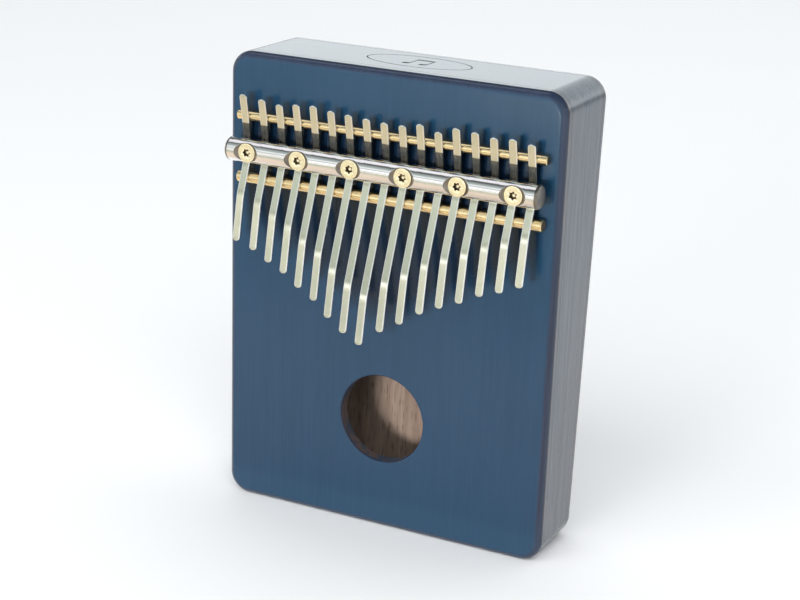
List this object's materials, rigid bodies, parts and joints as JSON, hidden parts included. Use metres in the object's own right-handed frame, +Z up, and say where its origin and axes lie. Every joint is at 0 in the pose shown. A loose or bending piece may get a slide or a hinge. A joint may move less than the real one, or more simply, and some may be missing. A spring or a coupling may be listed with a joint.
{
  "type": "box mbira",
  "caption": "Hollow box mbira with blue-dyed wooden body, round sound hole and a fan of springy steel tines clamped over brass rods.",
  "frame": {"origin": "centre of the flat foot that the body stands on, midway between its front and back edges", "axes": "+X to the right across the keys, +Y from the front face into the body, +Z up from the foot to the head"},
  "size_m": [0.1404, 0.0635, 0.185],
  "materials": {
    "dyed_wood": "satin, blue dyed wood with fine straight grain, species assumed",
    "bare_wood": "unfinished reddish hardwood, species assumed",
    "brass": "polished",
    "brass_plate": "plated, satin",
    "bar_steel": "turned, polished lengthwise",
    "tine_steel": "satin, slightly warm spring steel"
  },
  "bodies": {
    "body": {"soundboard": "dyed_wood", "side_frame": "dyed_wood", "back_board": "dyed_wood", "bridge_block": "bare_wood", "front_bridge_rod": "brass", "rear_bridge_rod": "brass", "bar_screws": "brass_plate", "pressure_bar": "bar_steel", "tine_01_tail": "tine_steel", "tine_02_tail": "tine_steel", "tine_03_tail": "tine_steel", "tine_04_tail": "tine_steel", "tine_05_tail": "tine_steel", "tine_06_tail": "tine_steel", "tine_07_tail": "tine_steel", "tine_08_tail": "tine_steel", "tine_09_tail": "tine_steel", "tine_10_tail": "tine_steel", "tine_11_tail": "tine_steel", "tine_12_tail": "tine_steel", "tine_13_tail": "tine_steel", "tine_14_tail": "tine_steel", "tine_15_tail": "tine_steel", "tine_16_tail": "tine_steel", "tine_17_tail": "tine_steel"},
    "key_01": {"tine_01_key": "tine_steel"},
    "key_02": {"tine_02_key": "tine_steel"},
    "key_03": {"tine_03_key": "tine_steel"},
    "key_04": {"tine_04_key": "tine_steel"},
    "key_05": {"tine_05_key": "tine_steel"},
    "key_06": {"tine_06_key": "tine_steel"},
    "key_07": {"tine_07_key": "tine_steel"},
    "key_08": {"tine_08_key": "tine_steel"},
    "key_09": {"tine_09_key": "tine_steel"},
    "key_10": {"tine_10_key": "tine_steel"},
    "key_11": {"tine_11_key": "tine_steel"},
    "key_12": {"tine_12_key": "tine_steel"},
    "key_13": {"tine_13_key": "tine_steel"},
    "key_14": {"tine_14_key": "tine_steel"},
    "key_15": {"tine_15_key": "tine_steel"},
    "key_16": {"tine_16_key": "tine_steel"},
    "key_17": {"tine_17_key": "tine_steel"}
  },
  "joints": [
    {"name": "key_01_flex", "type": "hinge", "parent": "body", "child": "key_01", "pos_m": [-0.06048, -0.02145, 0.13742], "axis": [1, 0, 0], "range_deg": [-2, 3], "stiffness_Nm_per_rad": 6.24},
    {"name": "key_02_flex", "type": "hinge", "parent": "body", "child": "key_02", "pos_m": [-0.05232, -0.02145, 0.13742], "axis": [1, 0, 0], "range_deg": [-2, 3], "stiffness_Nm_per_rad": 5.69},
    {"name": "key_03_flex", "type": "hinge", "parent": "body", "child": "key_03", "pos_m": [-0.04476, -0.02145, 0.13742], "axis": [1, 0, 0], "range_deg": [-2, 3], "stiffness_Nm_per_rad": 5.04},
    {"name": "key_04_flex", "type": "hinge", "parent": "body", "child": "key_04", "pos_m": [-0.0373, -0.02145, 0.13742], "axis": [1, 0, 0], "range_deg": [-2, 3], "stiffness_Nm_per_rad": 4.61},
    {"name": "key_05_flex", "type": "hinge", "parent": "body", "child": "key_05", "pos_m": [-0.02984, -0.02145, 0.13742], "axis": [1, 0, 0], "range_deg": [-2, 3], "stiffness_Nm_per_rad": 4.08},
    {"name": "key_06_flex", "type": "hinge", "parent": "body", "child": "key_06", "pos_m": [-0.02228, -0.02145, 0.13742], "axis": [1, 0, 0], "range_deg": [-2, 3], "stiffness_Nm_per_rad": 3.73},
    {"name": "key_07_flex", "type": "hinge", "parent": "body", "child": "key_07", "pos_m": [-0.01492, -0.02145, 0.13742], "axis": [1, 0, 0], "range_deg": [-2, 3], "stiffness_Nm_per_rad": 3.31},
    {"name": "key_08_flex", "type": "hinge", "parent": "body", "child": "key_08", "pos_m": [-0.00736, -0.02145, 0.13742], "axis": [1, 0, 0], "range_deg": [-2, 3], "stiffness_Nm_per_rad": 3.03},
    {"name": "key_09_flex", "type": "hinge", "parent": "body", "child": "key_09", "pos_m": [0.0001, -0.02145, 0.13742], "axis": [1, 0, 0], "range_deg": [-2, 3], "stiffness_Nm_per_rad": 2.85},
    {"name": "key_10_flex", "type": "hinge", "parent": "body", "child": "key_10", "pos_m": [0.00766, -0.02145, 0.13742], "axis": [1, 0, 0], "range_deg": [-2, 3], "stiffness_Nm_per_rad": 3.22},
    {"name": "key_11_flex", "type": "hinge", "parent": "body", "child": "key_11", "pos_m": [0.01502, -0.02145, 0.13742], "axis": [1, 0, 0], "range_deg": [-2, 3], "stiffness_Nm_per_rad": 3.52},
    {"name": "key_12_flex", "type": "hinge", "parent": "body", "child": "key_12", "pos_m": [0.02238, -0.02145, 0.13742], "axis": [1, 0, 0], "range_deg": [-2, 3], "stiffness_Nm_per_rad": 3.96},
    {"name": "key_13_flex", "type": "hinge", "parent": "body", "child": "key_13", "pos_m": [0.02974, -0.02145, 0.13742], "axis": [1, 0, 0], "range_deg": [-2, 3], "stiffness_Nm_per_rad": 4.34},
    {"name": "key_14_flex", "type": "hinge", "parent": "body", "child": "key_14", "pos_m": [0.0373, -0.02145, 0.13742], "axis": [1, 0, 0], "range_deg": [-2, 3], "stiffness_Nm_per_rad": 4.75},
    {"name": "key_15_flex", "type": "hinge", "parent": "body", "child": "key_15", "pos_m": [0.04476, -0.02145, 0.13742], "axis": [1, 0, 0], "range_deg": [-2, 3], "stiffness_Nm_per_rad": 5.36},
    {"name": "key_16_flex", "type": "hinge", "parent": "body", "child": "key_16", "pos_m": [0.05222, -0.02145, 0.13742], "axis": [1, 0, 0], "range_deg": [-2, 3], "stiffness_Nm_per_rad": 5.87},
    {"name": "key_17_flex", "type": "hinge", "parent": "body", "child": "key_17", "pos_m": [0.05958, -0.02145, 0.13742], "axis": [1, 0, 0], "range_deg": [-2, 3], "stiffness_Nm_per_rad": 6.63}
  ]
}
